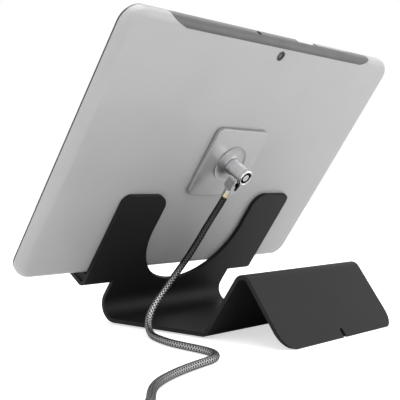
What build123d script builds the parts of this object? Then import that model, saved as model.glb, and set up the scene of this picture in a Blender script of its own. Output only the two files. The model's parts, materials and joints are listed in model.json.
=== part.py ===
import math
import os

from build123d import *

os.makedirs("parts", exist_ok=True)

# Bent sheet stand, millimetres and degrees
sheet = 2.5
base_width = 115.5
base_length = 77.1
lean_angle = 35.5
neck_bend_radius = 9.0
hump_angle = 54.5
hump_height = 38.2
fold_radius = 2.5
ridge_radius = 4.0
foot_corner = 9.5
notch_width = 3.0
notch_height = 5.0
arm_span = 164.8
arm_height = 62.3
arm_outer_corner = 6.0
arm_inner_corner = 10.0
slot_radius = 44.5
slot_centre_height = 35.5
wing_drop = 8.3
neck_rise = 31.95
ledge_depth = 20.0
ledge_bend_radius = 1.5
lip_height = 7.0
ledge_relief = 1.2
ledge_corner = 3.0

# Soft pads on the stand
base_pad_thickness = 0.8
base_pad_margin = 6.0
base_pad_corner = 8.0
ledge_pad_margin = 1.6

# Running gaps
rest_gap = 0.3
slide_gap = 0.15
turn_gap = 0.05
cord_gap = 0.4
overrun = 5.0

# Tablet
tablet_width = 256.7
tablet_height = 175.3
tablet_thickness = 8.7
tablet_shift = 6.8
tablet_corner = 11.5
back_edge_radius = 5.2
back_wall = 1.3
side_wall = 2.4
glass_thickness = 0.8
glass_inset = 0.9
glass_edge = 0.25
bezel_inset = 0.3
bezel_depth = 1.6
bezel_setback = 0.2
bezel_shelf = 13.0
panel_border = 14.2
panel_thickness = 2.2
trim_thickness = 0.7
trim_height = 5.0
trim_end_margin = 29.4
trim_sweep = 20.0
trim_corner = 13.0
trim_bend_radius = 40.0

# Pieces inside the tablet
cell_side_margin = 30.4
cell_bottom_margin = 22.0
cell_board_gap = 18.0
cell_gap = 4.0
cell_thickness = 3.6
cell_corner = 3.0
board_side_margin = 28.4
board_top_margin = 13.3
board_height = 30.0
board_thickness = 1.0
board_post_radius = 2.0
shield_width = 26.0
shield_height = 20.0
shield_thickness = 1.4
camera_drop = 9.9
camera_lens_radius = 3.2
camera_ring_width = 0.8
camera_block = 8.4
lens_thickness = 0.8
speaker_width = 12.0
speaker_height = 34.0
speaker_thickness = 3.6
dock_width = 24.0
dock_depth = 9.0
dock_thickness = 3.2
dock_mouth_width = 21.8
dock_mouth_thickness = 2.0
jack_radius = 1.75
jack_block = 6.0
jack_thickness = 4.4
jack_length = 9.4
port_seat = 1.0
jack_place = 24.0
port_depth_in_body = 4.0

# Buttons in the top edge
button_depth_in_body = 3.4
button_thickness = 2.6
button_proud = 0.5
power_length = 17.4
power_end_margin = 96.75
rocker_length = 36.0
rocker_end_margin = 57.35
switch_height = 3.0
switch_gap = 0.5

# Security plate and lock, measured out from the tablet's back
plate_size = 50.0
plate_corner = 4.5
plate_height = 88.0
plate_shift = -1.6
plate_thickness = 2.4
plate_edge = 0.5
adhesive_thickness = 0.8
adhesive_margin = 1.0
pocket_radius = 6.0
pocket_depth = 1.2
slot_length = 7.4
slot_width = 3.2
lock_face_height = 20.0
lock_base_radius = 13.0
lock_base_rim = 0.6
lock_base_height = 2.0
lock_base_neck = 6.0
lock_base_ring = 0.3
lock_core_radius = 4.8
lock_head_radius = 5.5
lock_head_length = 1.9
lock_head_chamfer = 0.5
lock_face_recess = 0.4
lock_face_radius = 4.6
plug_radius = 4.1
plug_length = 7.0
keyway_outer_radius = 3.5
keyway_inner_radius = 2.45
keyway_depth = 4.5
key_notch = 0.8
pin_count = 7
pin_radius = 0.42
pin_length = 1.8
shaft_radius = 1.4
bar_length = 6.8
bar_width = 2.6
bar_thickness = 0.9
bar_gap = 0.1
stud_radius = 0.6
stud_offset = 2.9

# Swivel collar, its ears, and the cable's end fitting
collar_radius = 5.5
ear_thickness = 1.5
ear_gap = 4.1
ear_width = 6.5
ear_corner = 2.0
ear_beyond = 2.3
ear_height = 14.1
pin_drop = 10.0
clevis_pin_radius = 1.0
clevis_head_radius = 1.5
clevis_head = 0.4
swivel_rest_angle = 15.0
tilt_rest_angle = 8.2
tongue_thickness = 3.7
tongue_radius = 2.6
barrel_start = 3.4
barrel_radius = 2.6
barrel_end = 5.4
ferrule_radius = 2.45
ferrule_end = 8.6

# Cable: braided steel in a clear sleeve
cable_diameter = 4.2
cable_length = 1800.0
tail_length = 5.0
run_share = 0.45
upper_point_count = 4
coil_layer_turns = 4.25
coil_pitch = 4.75
climb_turns = 0.5
span_turns = 0.25
sample_count = 2000
eye_radius = 10.0
eye_flare = 8.0
eye_lead = 34.0
eye_lead_share = 0.3
sleeve_length = 11.0
sleeve_height = 5.8
sleeve_width = 10.4
sleeve_corner = 2.4

lean = math.radians(lean_angle)
up = Vector(0, math.sin(lean), math.cos(lean))
out = Vector(0, math.cos(lean), -math.sin(lean))
across = Vector(1, 0, 0)
cable_radius = cable_diameter / 2

# Underside corners of the sheet's side profile, in Y and Z
neck_outer = neck_bend_radius + sheet
neck_turn = math.radians(90 + lean_angle)
front_corner = Vector(0, -base_length / 2 - neck_outer * math.tan(neck_turn / 2), base_pad_thickness)
hump = math.radians(hump_angle)
half_crest = math.radians(90 - hump_angle)
fold_outer = fold_radius + sheet
fold_y = base_length / 2 + fold_outer * math.tan(hump / 2)
ridge_outer = ridge_radius + sheet
crest_height = hump_height - ridge_outer + ridge_outer / math.sin(half_crest) - sheet / math.sin(half_crest)
ridge_y = fold_y + crest_height / math.tan(hump)
foot_reach = (crest_height + base_pad_thickness + overrun) / math.tan(hump)

# The tablet's bottom front corner, and the planes that lean with it
tablet_foot = front_corner + up * (neck_rise + wing_drop) - out * (tablet_thickness + rest_gap)
screen = Plane(origin=tablet_foot + across * tablet_shift, x_dir=across, z_dir=out * -1)
sheet_face = Plane(origin=tablet_foot + out * (tablet_thickness + rest_gap), x_dir=across, z_dir=out * -1)
wing_side = Plane(origin=tablet_foot, x_dir=out, z_dir=across)

# The lock's axis leaves the tablet's back square to it
lock_foot = screen.origin + across * plate_shift + up * plate_height + out * tablet_thickness
lock_plane = Plane(origin=lock_foot, x_dir=across, z_dir=out)


def rounded_slab(inset, front, back, edge):
    """A slab with the tablet's outline, drawn in by inset, from depth front to depth back."""
    with BuildPart() as slab:
        with BuildSketch(screen.offset(-front)):
            with Locations((0, tablet_height / 2)):
                RectangleRounded(tablet_width - 2 * inset, tablet_height - 2 * inset, tablet_corner - inset)
        extrude(amount=front - back)
        if edge > 0:
            fillet(slab.faces().sort_by(Axis(screen.origin, out))[-1].edges(), edge)
    return slab.part


def trim_outline():
    """The band's outline, drawn in from the ends with a swept curve."""
    low = tablet_height - trim_height
    high = tablet_height + overrun
    end = tablet_width / 2 - trim_end_margin
    tip = end - trim_sweep
    with BuildSketch(screen.offset(overrun)) as outline:
        with BuildLine():
            FilletPolyline(
                (-end - trim_corner, high),
                (-end, tablet_height),
                (-tip, low),
                (tip, low),
                (end, tablet_height),
                (end + trim_corner, high),
                radius=trim_bend_radius,
                close=False,
            )
            Line((end + trim_corner, high), (-end - trim_corner, high))
        make_face()
    return outline.sketch


def band_region(front, back, edge):
    """The skin under the band's outline, from depth front to depth back."""
    with BuildPart() as region:
        add(rounded_slab(0, front, back, edge))
        add(
            rounded_slab(
                trim_thickness,
                -overrun,
                tablet_thickness - trim_thickness,
                back_edge_radius - trim_thickness,
            ),
            mode=Mode.SUBTRACT,
        )
        extrude(trim_outline(), amount=-tablet_thickness - 3 * overrun, mode=Mode.INTERSECT)
    return region.part


# Stand plate: one bent sheet
with BuildPart() as stand_plate:
    with BuildSketch(Plane.YZ):
        with BuildLine():
            neck_top = front_corner + up * (neck_rise + ledge_bend_radius + 2 * sheet)
            FilletPolyline(
                (neck_top.Y, neck_top.Z),
                (front_corner.Y, front_corner.Z),
                (fold_y, base_pad_thickness),
                (ridge_y, base_pad_thickness + crest_height),
                (ridge_y + foot_reach, -overrun),
                radius=[neck_outer, fold_outer, ridge_radius],
            )
            offset(amount=sheet, side=Side.LEFT)
        make_face()
    extrude(amount=base_width / 2, both=True)
    # The rear leg ends level with the pad's underside
    with BuildSketch(Plane.XY.offset(-3 * overrun)):
        Rectangle(base_width + 2 * overrun, 4 * base_length)
    extrude(amount=3 * overrun, mode=Mode.SUBTRACT)
    # The rear leg's two bottom corners are round
    with BuildSketch(Plane.XZ.offset(-ridge_y)):
        Rectangle(base_width + 2 * overrun, 2 * foot_corner)
        with Locations((0, 2 * foot_corner)):
            RectangleRounded(base_width, 4 * foot_corner, foot_corner, mode=Mode.SUBTRACT)
    extrude(amount=-2 * foot_reach, mode=Mode.SUBTRACT)
    # A small notch in the middle of the rear leg's bottom edge
    with BuildSketch(Plane.XZ.offset(-ridge_y)):
        Rectangle(notch_width, 2 * (notch_height - notch_width / 2))
        with Locations((0, notch_height - notch_width / 2)):
            Circle(notch_width / 2)
    extrude(amount=-2 * foot_reach, mode=Mode.SUBTRACT)
    # Arms and wings
    with BuildSketch(sheet_face):
        wing_bottom = ledge_bend_radius + sheet - wing_drop
        with Locations((0, wing_bottom)):
            Rectangle(arm_span, arm_height - wing_bottom, align=(Align.CENTER, Align.MIN))
    extrude(amount=-sheet)
    # Ledges under the tablet's bottom edge, with a short lip in front
    for side in (-1, 1):
        inner_x = base_width / 2 + ledge_relief
        ledge_back = tablet_thickness + rest_gap + sheet
        with BuildSketch(wing_side.offset(side * inner_x)):
            with BuildLine():
                FilletPolyline(
                    (ledge_back, wing_bottom + sheet),
                    (ledge_back, -wing_drop),
                    (ledge_back - ledge_depth, -wing_drop),
                    (ledge_back - ledge_depth, lip_height - wing_drop),
                    radius=ledge_bend_radius + sheet,
                )
                offset(amount=sheet, side=Side.RIGHT)
            make_face()
        extrude(amount=side * (arm_span / 2 - inner_x))
    # The round-bottomed slot between the arms
    with BuildSketch(sheet_face.offset(sheet)):
        with Locations((0, slot_centre_height)):
            Circle(slot_radius)
            Rectangle(2 * slot_radius, arm_height, align=(Align.CENTER, Align.MIN))
    extrude(amount=-3 * sheet, mode=Mode.SUBTRACT)
    arm_ends = stand_plate.edges().filter_by(Axis((0, 0, 0), out)).group_by(Axis(screen.origin, up))[-1]
    arm_ends = arm_ends.sort_by(Axis.X)
    fillet([arm_ends[0], arm_ends[-1]], arm_outer_corner)
    fillet([arm_ends[1], arm_ends[2]], arm_inner_corner)
stand_plate.part.label = "stand_plate"
export_step(stand_plate.part, "parts/stand_plate.step")

# Anti-slip pad under the base
with BuildPart() as base_pad:
    with BuildSketch():
        RectangleRounded(base_width - 2 * base_pad_margin, base_length - base_pad_margin, base_pad_corner)
    extrude(amount=base_pad_thickness)
base_pad.part.label = "base_pad"
export_step(base_pad.part, "parts/base_pad.step")

# Soft pads that the tablet's bottom edge stands on
with BuildPart() as ledge_pads:
    for side in (-1, 1):
        pad_inner = base_width / 2 + ledge_relief + ledge_pad_margin
        with BuildSketch(wing_side.offset(side * pad_inner)):
            pad_bottom = sheet - wing_drop
            pad_back = tablet_thickness + rest_gap - ledge_bend_radius
            pad_front = tablet_thickness + rest_gap + 2 * sheet + ledge_bend_radius - ledge_depth
            with Locations(((pad_back + pad_front) / 2, pad_bottom)):
                Rectangle(pad_back - pad_front, -rest_gap - pad_bottom, align=(Align.CENTER, Align.MIN))
        extrude(amount=side * (arm_span / 2 - pad_inner - ledge_pad_margin))
ledge_pads.part.label = "ledge_pads"
export_step(ledge_pads.part, "parts/ledge_pads.step")

# Places on the tablet that several pieces share
button_top = Plane(origin=screen.origin + up * tablet_height + out * button_depth_in_body, x_dir=across, z_dir=up)
port_edge = Plane(origin=screen.origin + out * port_depth_in_body, x_dir=across, z_dir=up)
power_place = power_end_margin + power_length / 2 - tablet_width / 2
rocker_place = rocker_end_margin + rocker_length / 2 - tablet_width / 2
buttons = [(power_place, power_length), (rocker_place, rocker_length)]
back_inside = tablet_thickness - back_wall
panel_width = tablet_width - 2 * panel_border
panel_height = tablet_height - 2 * panel_border
board_width = tablet_width - 2 * board_side_margin
board_middle = tablet_height - board_top_margin - board_height / 2
cell_width = (tablet_width - 2 * cell_side_margin - cell_gap) / 2
cell_height = board_middle - board_height / 2 - cell_board_gap - cell_bottom_margin


def button_slots(clearance, start, end):
    """The outlines of both buttons, cut along the tablet's height from start to end above its top."""
    with BuildPart() as slots:
        with BuildSketch(button_top.offset(start)):
            for place, length in buttons:
                with Locations((place, 0)):
                    SlotOverall(length + 2 * clearance, button_thickness + 2 * clearance)
        extrude(amount=end - start)
    return slots.part


# Back shell, open to the front
with BuildPart() as tablet_back_shell:
    add(rounded_slab(0, bezel_depth, tablet_thickness, back_edge_radius))
    add(
        rounded_slab(side_wall, bezel_depth - overrun, back_inside, back_edge_radius - side_wall),
        mode=Mode.SUBTRACT,
    )
    add(band_region(0, tablet_thickness + overrun, 0), mode=Mode.SUBTRACT)
    add(button_slots(slide_gap, -side_wall - overrun, overrun), mode=Mode.SUBTRACT)
    # Camera window
    with BuildSketch(screen.offset(-tablet_thickness - overrun)):
        with Locations((0, tablet_height - camera_drop)):
            Circle(camera_lens_radius + camera_ring_width)
    extrude(amount=overrun + back_wall + overrun / 2, mode=Mode.SUBTRACT)
    # Mouths of the dock port below and the headphone jack above
    with BuildSketch(port_edge.offset(-overrun)):
        SlotOverall(dock_mouth_width, dock_mouth_thickness)
    extrude(amount=overrun + side_wall + rest_gap, mode=Mode.SUBTRACT)
    with BuildSketch(port_edge.offset(tablet_height + overrun)):
        with Locations((jack_place, 0)):
            Circle(jack_radius)
    extrude(amount=-overrun - side_wall - rest_gap, mode=Mode.SUBTRACT)
    # Posts for the main board
    with BuildSketch(screen.offset(-back_inside)):
        with Locations((0, board_middle)):
            with GridLocations(board_width - 4 * board_post_radius, board_height - 4 * board_post_radius, 2, 2):
                Circle(board_post_radius)
    extrude(amount=back_wall)
tablet_back_shell.part.label = "tablet_back_shell"
export_step(tablet_back_shell.part, "parts/tablet_back_shell.step")

# Grey trim band let into the top edge
with BuildPart() as trim_band:
    add(band_region(bezel_depth, tablet_thickness, back_edge_radius))
    add(button_slots(slide_gap, -side_wall - overrun, overrun), mode=Mode.SUBTRACT)
    with BuildSketch(port_edge.offset(tablet_height + overrun)):
        with Locations((jack_place, 0)):
            Circle(jack_radius)
    extrude(amount=-overrun - trim_thickness - back_edge_radius, mode=Mode.SUBTRACT)
trim_band.part.label = "trim_band"
export_step(trim_band.part, "parts/trim_band.step")

# Black frame that carries the glass
with BuildPart() as bezel_frame:
    add(rounded_slab(bezel_inset, bezel_setback, bezel_depth, 0))
    add(rounded_slab(glass_inset - turn_gap, -overrun, glass_thickness, 0), mode=Mode.SUBTRACT)
    with BuildSketch(screen):
        with Locations((0, tablet_height / 2)):
            Rectangle(panel_width + 2 * slide_gap, panel_height + 2 * slide_gap)
    extrude(amount=-overrun, mode=Mode.SUBTRACT)
bezel_frame.part.label = "bezel_frame"
export_step(bezel_frame.part, "parts/bezel_frame.step")

# Front glass
with BuildPart() as front_glass:
    add(rounded_slab(glass_inset, 0, glass_thickness, 0))
    fillet(front_glass.faces().sort_by(Axis(screen.origin, out))[0].edges(), glass_edge)
front_glass.part.label = "front_glass"
export_step(front_glass.part, "parts/front_glass.step")

# Display panel behind the glass
with BuildPart() as display_panel:
    with BuildSketch(screen.offset(-glass_thickness)):
        with Locations((0, tablet_height / 2)):
            Rectangle(panel_width, panel_height)
    extrude(amount=-panel_thickness)
display_panel.part.label = "display_panel"
export_step(display_panel.part, "parts/display_panel.step")

# Two flat battery cells on the back wall
with BuildPart() as battery_cells:
    with BuildSketch(screen.offset(-back_inside)):
        with Locations((0, cell_bottom_margin + cell_height / 2)):
            with GridLocations(cell_width + cell_gap, cell_height, 2, 1):
                RectangleRounded(cell_width, cell_height, cell_corner)
    extrude(amount=cell_thickness)
battery_cells.part.label = "battery_cells"
export_step(battery_cells.part, "parts/battery_cells.step")

# Main board on its posts, with two shield cans
with BuildPart() as main_board:
    with BuildSketch(screen.offset(back_wall - back_inside)):
        with Locations((0, board_middle)):
            Rectangle(board_width, board_height)
        with Locations((0, tablet_height - camera_drop)):
            Rectangle(camera_block + 2 * slide_gap, camera_block + 2 * slide_gap, mode=Mode.SUBTRACT)
    extrude(amount=board_thickness)
    with BuildSketch(screen.offset(back_wall + board_thickness - back_inside)):
        with Locations((0, board_middle)):
            with GridLocations(board_width / 2, board_height, 2, 1):
                Rectangle(shield_width, shield_height)
    extrude(amount=shield_thickness)
main_board.part.label = "main_board"
export_step(main_board.part, "parts/main_board.step")

# Camera block, and the lens in its ring
with BuildPart() as camera_module:
    with BuildSketch(screen.offset(-back_inside)):
        with Locations((0, tablet_height - camera_drop)):
            Rectangle(camera_block, camera_block)
    extrude(amount=back_inside - glass_thickness - panel_thickness - rest_gap)
camera_module.part.label = "camera_module"
export_step(camera_module.part, "parts/camera_module.step")

with BuildPart() as camera_ring:
    with BuildSketch(screen.offset(-back_inside)):
        with Locations((0, tablet_height - camera_drop)):
            Circle(camera_lens_radius + camera_ring_width - turn_gap)
            Circle(camera_lens_radius, mode=Mode.SUBTRACT)
    extrude(amount=-back_wall - turn_gap)
camera_ring.part.label = "camera_ring"
export_step(camera_ring.part, "parts/camera_ring.step")

with BuildPart() as camera_lens:
    with BuildSketch(screen.offset(-back_inside)):
        with Locations((0, tablet_height - camera_drop)):
            Circle(camera_lens_radius - turn_gap)
    extrude(amount=-lens_thickness)
camera_lens.part.label = "camera_lens"
export_step(camera_lens.part, "parts/camera_lens.step")

# Speakers inside both ends
with BuildPart() as speakers:
    with BuildSketch(screen.offset(-back_inside)):
        speaker_x = tablet_width / 2 - side_wall - back_edge_radius - speaker_width / 2
        speaker_y = tablet_height / 2
        with Locations((-speaker_x, speaker_y), (speaker_x, speaker_y)):
            Rectangle(speaker_width, speaker_height)
    extrude(amount=speaker_thickness)
speakers.part.label = "speakers"
export_step(speakers.part, "parts/speakers.step")

# Dock port at the bottom edge and headphone jack at the top edge
with BuildPart() as dock_port:
    with BuildSketch(port_edge.offset(side_wall + port_seat)):
        Rectangle(dock_width, dock_thickness)
    extrude(amount=dock_depth)
    with BuildSketch(port_edge.offset(side_wall + port_seat)):
        SlotOverall(dock_mouth_width, dock_mouth_thickness)
    extrude(amount=dock_depth - side_wall, mode=Mode.SUBTRACT)
dock_port.part.label = "dock_port"
export_step(dock_port.part, "parts/dock_port.step")

with BuildPart() as headphone_jack:
    with BuildSketch(port_edge.offset(tablet_height - side_wall - port_seat)):
        with Locations((jack_place, 0)):
            Rectangle(jack_block, jack_thickness)
            Circle(jack_radius, mode=Mode.SUBTRACT)
    extrude(amount=-jack_length)
headphone_jack.part.label = "headphone_jack"
export_step(headphone_jack.part, "parts/headphone_jack.step")

# Switch blocks under the two buttons
with BuildPart() as edge_switches:
    with BuildSketch(button_top.offset(-side_wall - switch_height)):
        for place, length in buttons:
            with Locations((place, 0)):
                Rectangle(length - 2 * button_thickness, button_thickness)
    extrude(amount=switch_height)
edge_switches.part.label = "edge_switches"
export_step(edge_switches.part, "parts/edge_switches.step")

# Power button and volume rocker
button_inner = switch_gap - side_wall
with BuildPart() as power_button:
    with BuildSketch(button_top.offset(button_inner)):
        with Locations((power_place, 0)):
            SlotOverall(power_length, button_thickness)
    extrude(amount=button_proud - button_inner)
    fillet(power_button.faces().sort_by(Axis(screen.origin, up))[-1].edges(), button_proud / 2)
power_button.part.label = "power_button"
export_step(power_button.part, "parts/power_button.step")

with BuildPart() as volume_rocker:
    with BuildSketch(button_top.offset(button_inner)):
        with Locations((rocker_place, 0)):
            SlotOverall(rocker_length, button_thickness)
    extrude(amount=button_proud - button_inner)
    fillet(volume_rocker.faces().sort_by(Axis(screen.origin, up))[-1].edges(), button_proud / 2)
volume_rocker.part.label = "volume_rocker"
export_step(volume_rocker.part, "parts/volume_rocker.step")

# Adhesive pad with a hole for the locking bar's pocket
with BuildPart() as adhesive_pad:
    with BuildSketch(lock_plane):
        pad_size = plate_size - 2 * adhesive_margin
        RectangleRounded(pad_size, pad_size, plate_corner - adhesive_margin)
        Circle(pocket_radius + adhesive_margin, mode=Mode.SUBTRACT)
    extrude(amount=adhesive_thickness)
adhesive_pad.part.label = "adhesive_pad"
export_step(adhesive_pad.part, "parts/adhesive_pad.step")

# Security plate, with the slot that the locking bar turns behind
plate_top = adhesive_thickness + plate_thickness
with BuildPart() as security_plate:
    with BuildSketch(lock_plane.offset(adhesive_thickness)):
        RectangleRounded(plate_size, plate_size, plate_corner)
    extrude(amount=plate_thickness)
    fillet(security_plate.faces().sort_by(Axis(lock_foot, out))[-1].edges(), plate_edge)
    with BuildSketch(lock_plane.offset(adhesive_thickness)):
        Circle(pocket_radius)
    extrude(amount=pocket_depth, mode=Mode.SUBTRACT)
    with BuildSketch(lock_plane.offset(adhesive_thickness)):
        SlotOverall(slot_length, slot_width)
    extrude(amount=plate_thickness, mode=Mode.SUBTRACT)
security_plate.part.label = "security_plate"
export_step(security_plate.part, "parts/security_plate.step")

# Flared base of the lock, seated on the plate
lock_base_top = plate_top + lock_base_height
with BuildPart() as lock_base:
    with BuildSketch(Plane(origin=lock_foot, x_dir=across, z_dir=up)):
        with BuildLine():
            base_edge = Line((lock_base_radius, plate_top), (lock_base_radius, plate_top + lock_base_rim))
            flare_mid_x = (lock_base_radius + 2 * lock_base_neck) / 3
            flare_mid_y = plate_top + (lock_base_rim + lock_base_height) / 2 - 2 * lock_base_ring
            flare = ThreePointArc(base_edge @ 1, (flare_mid_x, flare_mid_y), (lock_base_neck, lock_base_top))
            Polyline(
                flare @ 1,
                (shaft_radius + turn_gap, lock_base_top),
                (shaft_radius + turn_gap, plate_top),
                (lock_base_radius, plate_top),
            )
        make_face()
    revolve(axis=Axis(lock_foot, out))
lock_base.part.label = "lock_base"
export_step(lock_base.part, "parts/lock_base.step")

# Two studs that keep the lock from turning in the slot
with BuildPart() as slot_studs:
    with BuildSketch(lock_plane.offset(plate_top)):
        with Locations((-stud_offset, 0), (stud_offset, 0)):
            Circle(stud_radius)
    extrude(amount=pocket_depth - plate_thickness)
slot_studs.part.label = "slot_studs"
export_step(slot_studs.part, "parts/slot_studs.step")

# Lock body: a core that the collar turns on, and the head
head_start = lock_face_height - lock_head_length
with BuildPart() as lock_body:
    with BuildSketch(lock_plane.offset(lock_base_top)):
        Circle(lock_core_radius)
    extrude(amount=head_start - lock_base_top)
    with BuildSketch(lock_plane.offset(head_start)):
        Circle(lock_head_radius)
    extrude(amount=lock_head_length)
    chamfer(lock_body.faces().sort_by(Axis(lock_foot, out))[-1].edges(), lock_head_chamfer)
    with BuildSketch(lock_plane.offset(lock_face_height)):
        Circle(lock_face_radius)
    extrude(amount=-lock_face_recess, mode=Mode.SUBTRACT)
    with BuildSketch(lock_plane.offset(lock_face_height)):
        Circle(plug_radius + turn_gap)
    extrude(amount=-plug_length - lock_face_recess, mode=Mode.SUBTRACT)
    with BuildSketch(lock_plane.offset(lock_base_top)):
        Circle(shaft_radius + turn_gap)
    extrude(amount=head_start - lock_base_top, mode=Mode.SUBTRACT)
lock_body.part.label = "lock_body"
export_step(lock_body.part, "parts/lock_body.step")

# Plug with its ring-shaped keyway
plug_top = lock_face_height - lock_face_recess
plug_bottom = plug_top - plug_length + turn_gap
with BuildPart() as lock_plug:
    with BuildSketch(lock_plane.offset(plug_bottom)):
        Circle(plug_radius)
    extrude(amount=plug_top - plug_bottom)
    with BuildSketch(lock_plane.offset(plug_top)):
        Circle(keyway_outer_radius)
        Circle(keyway_inner_radius, mode=Mode.SUBTRACT)
        with Locations((-keyway_outer_radius, 0)):
            Rectangle(key_notch, key_notch, mode=Mode.ADD)
    extrude(amount=-keyway_depth, mode=Mode.SUBTRACT)
    with BuildSketch(lock_plane.offset(plug_top - keyway_depth)):
        with PolarLocations((keyway_outer_radius + keyway_inner_radius) / 2, pin_count):
            Circle(pin_radius)
    extrude(amount=-pin_length, mode=Mode.SUBTRACT)
lock_plug.part.label = "lock_plug"
export_step(lock_plug.part, "parts/lock_plug.step")

# Tumbler pins at the bottom of the keyway
with BuildPart() as tumbler_pins:
    with BuildSketch(lock_plane.offset(plug_top - keyway_depth)):
        with PolarLocations((keyway_outer_radius + keyway_inner_radius) / 2, pin_count):
            Circle(pin_radius)
    extrude(amount=-pin_length)
tumbler_pins.part.label = "tumbler_pins"
export_step(tumbler_pins.part, "parts/tumbler_pins.step")

# Locking bar: a shaft with a crosshead that turns behind the slot
bar_start = adhesive_thickness + pocket_depth - bar_gap - bar_thickness
with BuildPart() as locking_bar:
    with BuildSketch(lock_plane.offset(bar_start)):
        Circle(shaft_radius)
    extrude(amount=plug_bottom - bar_start)
    with BuildSketch(lock_plane.offset(bar_start)):
        SlotOverall(bar_length, bar_width, rotation=90)
    extrude(amount=bar_thickness)
locking_bar.part.label = "locking_bar"
export_step(locking_bar.part, "parts/locking_bar.step")

# Swivel collar: a sleeve round the lock's core, with two ears for the clevis pin
swivel = math.radians(swivel_rest_angle)
ear_way = up * -math.cos(swivel) + across * math.sin(swivel)
ear_side = across * math.cos(swivel) + up * math.sin(swivel)
collar_start = lock_base_top + rest_gap
collar_end = head_start - rest_gap
ear_plane = Plane(origin=lock_foot, x_dir=ear_way, z_dir=ear_side)
clevis_point = lock_foot + ear_way * pin_drop + out * ear_height
with BuildPart() as swivel_collar:
    with BuildSketch(lock_plane.offset(collar_start)):
        Circle(collar_radius)
    extrude(amount=collar_end - collar_start)
    for side in (-1, 1):
        with BuildSketch(ear_plane.offset(side * ear_gap / 2)) as ear:
            with Locations((0, ear_height)):
                Rectangle(pin_drop + ear_beyond, ear_width, align=(Align.MIN, Align.CENTER))
            fillet(ear.vertices().group_by(Axis.X)[-1], ear_corner)
        extrude(amount=side * ear_thickness)
    with BuildSketch(lock_plane.offset(collar_start)):
        Circle(lock_core_radius + turn_gap)
    extrude(amount=collar_end - collar_start, mode=Mode.SUBTRACT)
    with BuildSketch(ear_plane.offset(-ear_gap)):
        with Locations((pin_drop, ear_height)):
            Circle(clevis_pin_radius)
    extrude(amount=2 * ear_gap, mode=Mode.SUBTRACT)
swivel_collar.part.label = "swivel_collar"
export_step(swivel_collar.part, "parts/swivel_collar.step")

# Clevis pin with two low heads
with BuildPart() as clevis_pin:
    pin_half = ear_gap / 2 + ear_thickness
    with BuildSketch(ear_plane.offset(-pin_half)):
        with Locations((pin_drop, ear_height)):
            Circle(clevis_pin_radius)
    extrude(amount=2 * pin_half)
    for side in (-1, 1):
        with BuildSketch(ear_plane.offset(side * pin_half)):
            with Locations((pin_drop, ear_height)):
                Circle(clevis_head_radius)
        extrude(amount=side * clevis_head)
clevis_pin.part.label = "clevis_pin"
export_step(clevis_pin.part, "parts/clevis_pin.step")

# Cable end: a tongue on the pin, then a barrel
tilt = math.radians(tilt_rest_angle)
end_way = ear_way * math.cos(tilt) + out * math.sin(tilt)
end_side = Plane(origin=clevis_point, x_dir=end_way, z_dir=ear_side)
end_axis = Plane(origin=clevis_point, x_dir=ear_side, z_dir=end_way)
with BuildPart() as cable_end:
    with BuildSketch(end_side.offset(-tongue_thickness / 2)):
        Circle(tongue_radius)
        with Locations((barrel_start / 2, 0)):
            Rectangle(barrel_start, 2 * tongue_radius)
    extrude(amount=tongue_thickness)
    with BuildSketch(end_axis.offset(barrel_start)):
        Circle(barrel_radius)
    extrude(amount=barrel_end - barrel_start)
    with BuildSketch(end_side.offset(-tongue_thickness)):
        Circle(clevis_pin_radius + turn_gap)
    extrude(amount=2 * tongue_thickness, mode=Mode.SUBTRACT)
cable_end.part.label = "cable_end"
export_step(cable_end.part, "parts/cable_end.step")

# Brass ferrule crimped on the cable
with BuildPart() as ferrule:
    with BuildSketch(end_axis.offset(barrel_end)):
        Circle(ferrule_radius)
    extrude(amount=ferrule_end - barrel_end)
ferrule.part.label = "ferrule"
export_step(ferrule.part, "parts/ferrule.step")

# Cable route, chosen by hand along the photographed line, then round to the coil
cable_start = clevis_point + end_way * ferrule_end
tail_stop = cable_start + end_way * tail_length
hanging_points = [
    (14.0, 10.3, 71.3),
    (20.0, 8.4, 62.9),
    (25.7, 6.5, 54.1),
    (33.7, 5.2, 44.4),
    (46.6, 4.5, 32.2),
    (54.9, 4.4, 25.0),
    (64.5, 4.4, 15.9),
    (70.2, 5.6, 7.4),
]
floor_points = [
    (76.2, 13.9, 2.1),
    (83.4, 27.0, 2.1),
    (88.6, 43.0, 2.1),
    (90.2, 58.0, 2.1),
    (91.4, 71.0, 2.1),
    (95.2, 81.8, 2.1),
    (103.8, 88.4, 2.1),
    (116.0, 90.2, 2.1),
    (131.0, 93.0, 2.1),
    (147.0, 97.6, 2.1),
    (160.6, 103.6, 2.1),
    (171.6, 111.6, 2.1),
    (183.0, 123.0, 2.1),
    (197.0, 132.6, 2.1),
    (214.0, 135.9, 2.1),
    (232.0, 135.9, 2.1),
]


def corner_radii(points):
    """The largest arc for each corner of a route: 0.45 of its shorter run over the half turn's tangent."""
    radii = []
    for before, here, after in zip(points, points[1:], points[2:]):
        arriving = here - before
        leaving = after - here
        half_turn = math.radians(arriving.get_angle(leaving)) / 2
        radii.append(run_share * min(arriving.length, leaving.length) / math.tan(half_turn))
    return radii


def swept_tube(name, line):
    """A tube of the cable's diameter along a finished line, written and measured."""
    with BuildPart() as tube:
        add(line)
        with BuildSketch(Plane(origin=line @ 0, z_dir=line % 0)):
            Circle(cable_radius)
        sweep(path=line)
    expected = math.pi * cable_radius**2 * line.length
    print(f"{name}: length {line.length:.1f}, volume over section times length {tube.part.volume / expected:.4f}")
    tube.part.label = name
    export_step(tube.part, f"parts/{name}.step")


def route_line(name, points):
    """Straight runs joined by tangent arcs."""
    radii = corner_radii(points)
    print(f"{name}: radii " + ", ".join(f"{radius:.1f}" for radius in radii))
    with BuildLine() as path:
        FilletPolyline(*points, radius=radii)
    return path.wire()


with BuildPart() as cable_tail:
    with BuildSketch(end_axis.offset(ferrule_end)):
        Circle(cable_radius)
    extrude(amount=tail_length)
cable_tail.part.label = "cable_tail"
export_step(cable_tail.part, "parts/cable_tail.step")

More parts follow.
